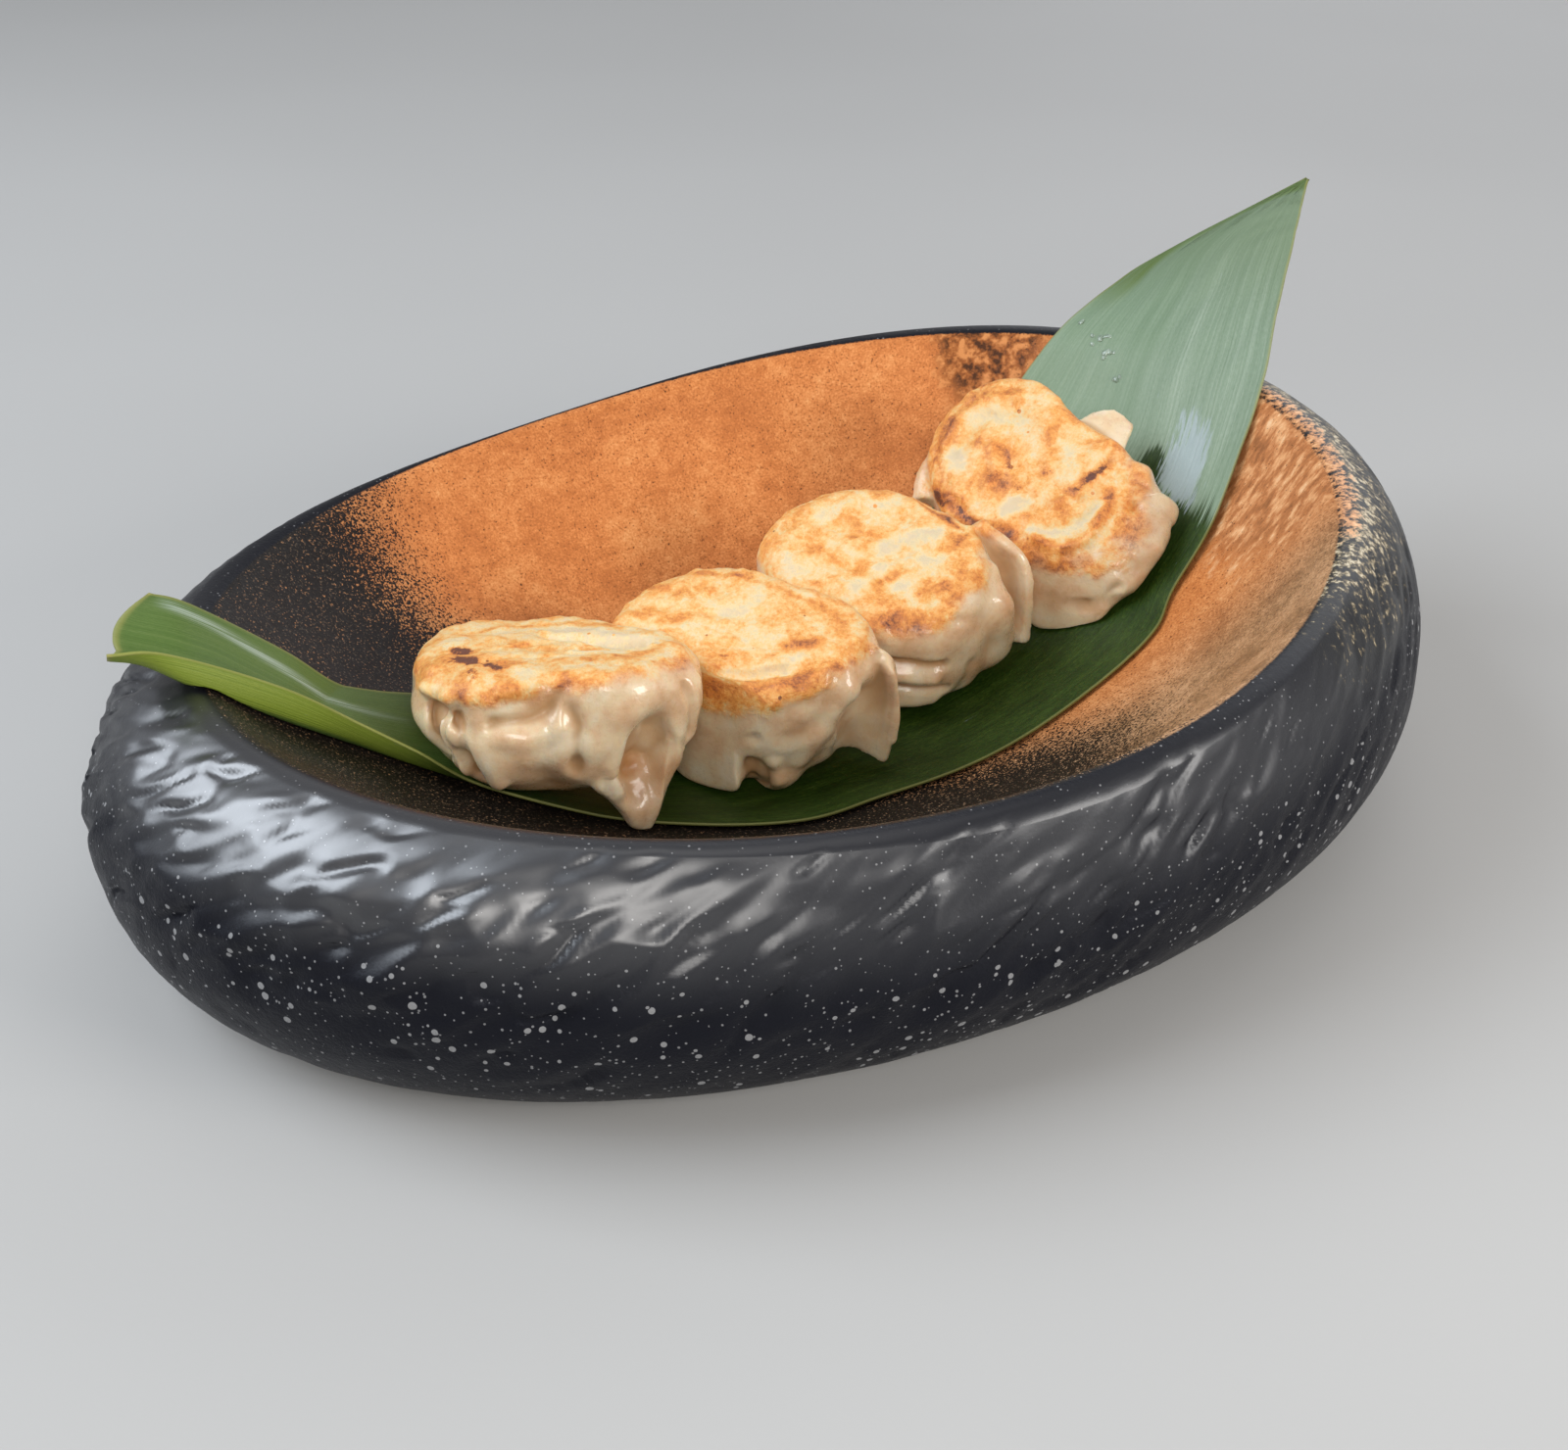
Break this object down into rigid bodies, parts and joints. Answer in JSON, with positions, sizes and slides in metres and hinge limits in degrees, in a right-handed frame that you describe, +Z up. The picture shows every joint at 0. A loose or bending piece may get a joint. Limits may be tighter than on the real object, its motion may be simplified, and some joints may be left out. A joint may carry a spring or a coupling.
{
  "type": "gyoza dumplings",
  "caption": "Thick oval stoneware bowl with a long green leaf laid across it and a row of pan-fried folded dumplings, browned side up.",
  "frame": {"origin": "middle of the bowl's flat underside, on the surface it stands on", "axes": "+X along the bowl's long axis towards the end where the leaf stands up, +Y to the far side of the bowl, +Z up"},
  "size_m": [0.3374, 0.2239, 0.1145],
  "materials": {
    "dark_stoneware": "hammered satin black glaze outside, rust-brown speckled glaze inside",
    "green_leaf": "fresh waxy green leaf with fine veins along it",
    "fried_dough": "moist cream dough with a browned crust"
  },
  "bodies": {
    "root": {"bowl": "dark_stoneware", "leaf": "green_leaf", "dumpling_1": "fried_dough", "dumpling_2": "fried_dough", "dumpling_3": "fried_dough", "dumpling_4": "fried_dough"}
  },
  "joints": []
}
